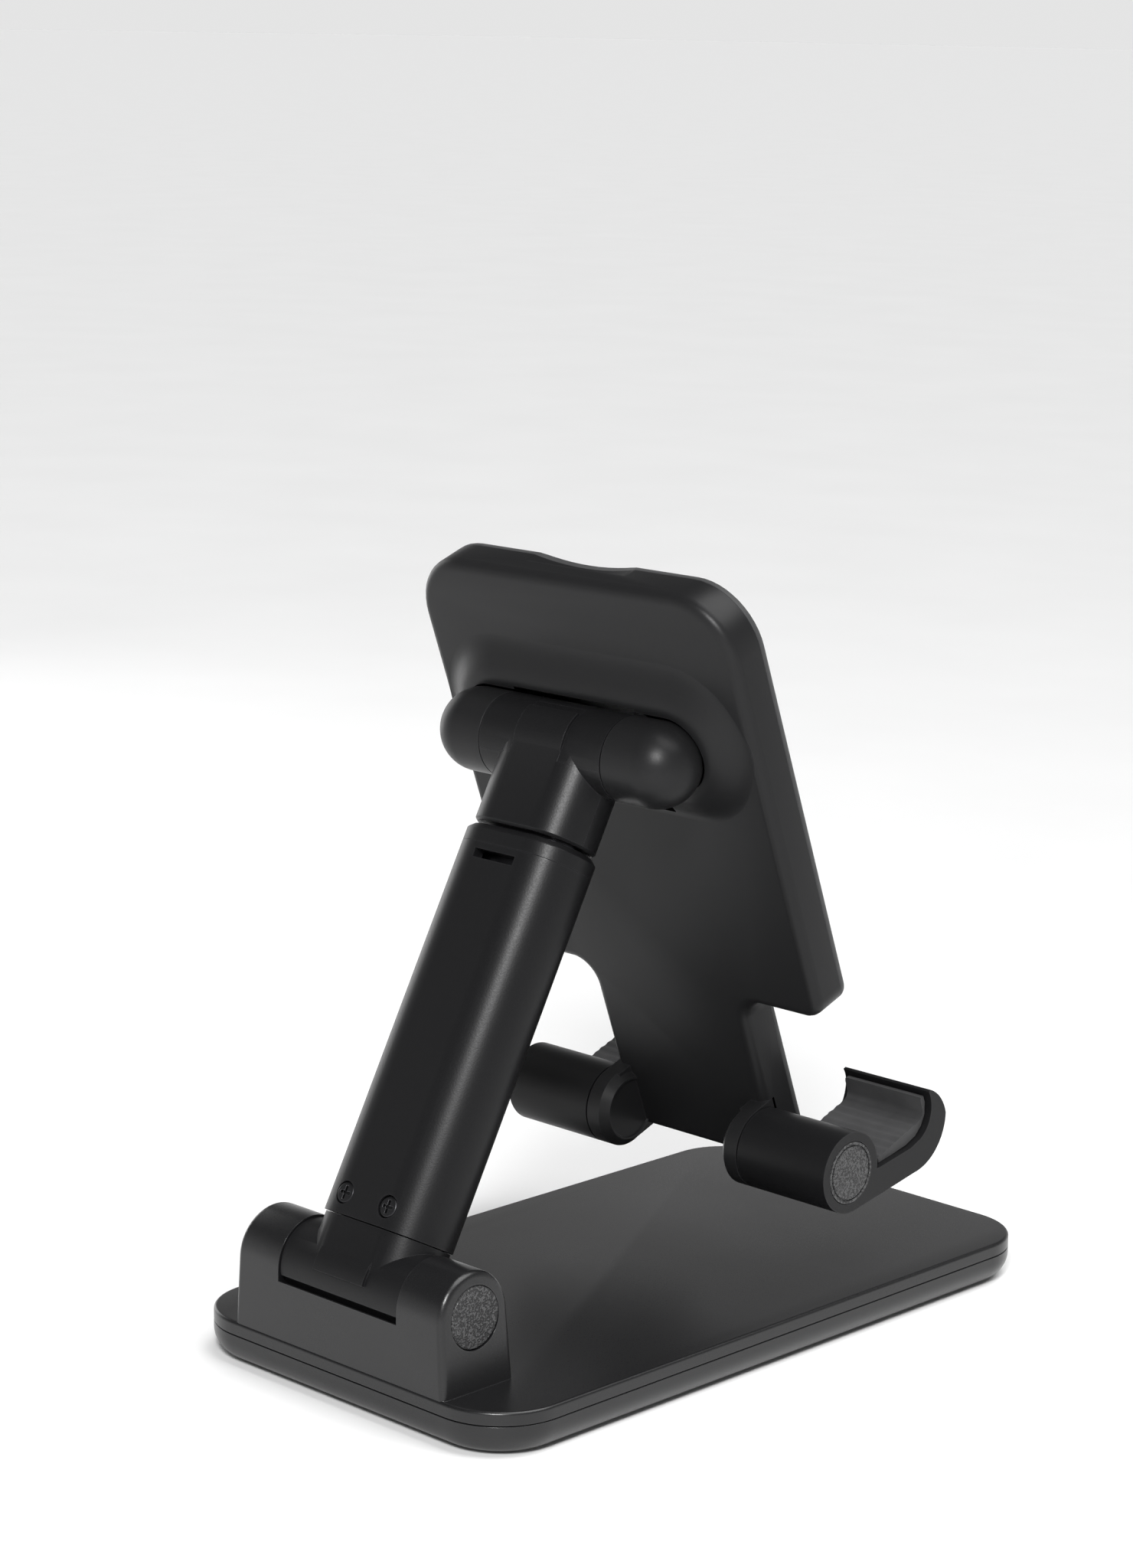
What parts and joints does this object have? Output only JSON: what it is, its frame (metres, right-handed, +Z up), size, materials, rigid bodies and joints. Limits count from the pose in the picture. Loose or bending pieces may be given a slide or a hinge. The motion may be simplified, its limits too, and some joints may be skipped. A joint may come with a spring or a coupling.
{
  "type": "phone stand",
  "caption": "Folding desk phone stand: weighted base, leaning arm with sliding mast, tilting back plate and two fold-up hooks.",
  "frame": {"origin": "middle of the base's underside, on the table", "axes": "+X along the hinge axes, to the right of a person facing the screen; -Y is the side the screen faces; +Z up"},
  "size_m": [0.0644, 0.1166, 0.1138],
  "materials": {
    "base_plastic": "fine satin grain",
    "arm_plastic": "fine satin grain",
    "plate_plastic": "fine satin grain",
    "hook_plastic": "fine satin grain",
    "textured_cap": "coarse spark-eroded texture",
    "silicone": "soft matte",
    "black_screw": "black oxide",
    "mast_metal": "black anodised",
    "steel": "bright"
  },
  "bodies": {
    "base": {"base_top_shell": "base_plastic", "base_bottom_shell": "base_plastic", "counterweight_plate": "steel", "base_foot_pad": "silicone", "base_screws": "black_screw", "base_shaft": "steel", "base_shaft_nut": "steel", "base_friction_washers": "steel", "base_hinge_caps": "textured_cap"},
    "arm": {"arm_foot": "arm_plastic", "arm_sleeve": "arm_plastic", "sleeve_screws": "black_screw", "sleeve_collar": "arm_plastic", "brake_pad": "silicone"},
    "mast": {"mast_tube": "mast_metal", "mast_stop": "arm_plastic", "head_yoke": "arm_plastic", "head_cover": "arm_plastic", "head_screws": "black_screw"},
    "plate": {"plate_shell": "plate_plastic", "plate_core": "steel", "plate_screws": "black_screw", "plate_pad": "silicone", "head_shaft": "steel", "head_shaft_nut": "steel", "head_friction_washers": "steel", "hinge_ear_right": "plate_plastic", "hinge_ear_left": "plate_plastic", "hook_pin_right": "steel", "hook_pin_left": "steel", "hook_clip_right": "steel", "hook_clip_left": "steel"},
    "hook_right": {"hook_right": "hook_plastic", "hook_pad_right": "silicone", "hook_cap_right": "textured_cap", "hook_washer_right": "steel"},
    "hook_left": {"hook_left": "hook_plastic", "hook_pad_left": "silicone", "hook_cap_left": "textured_cap", "hook_washer_left": "steel"}
  },
  "joints": [
    {"name": "arm_tilt", "type": "hinge", "parent": "base", "child": "arm", "pos_m": [0, 0.0517, 0.0169], "axis": [1, 0, 0], "range_deg": [-28, 10]},
    {"name": "mast_slide", "type": "slide", "parent": "arm", "child": "mast", "axis": [0, -0.471, 0.8821], "range_m": [0, 0.04]},
    {"name": "plate_tilt", "type": "hinge", "parent": "mast", "child": "plate", "pos_m": [0, 0.01411, 0.08729], "axis": [1, 0, 0], "range_deg": [-50, 44]},
    {"name": "hook_fold_right", "type": "hinge", "parent": "plate", "child": "hook_right", "pos_m": [0, -0.01307, 0.02574], "axis": [-1, 0, 0], "range_deg": [0, 90]},
    {"name": "hook_fold_left", "type": "hinge", "parent": "plate", "child": "hook_left", "pos_m": [0, -0.01307, 0.02574], "axis": [-1, 0, 0], "range_deg": [0, 90]}
  ]
}
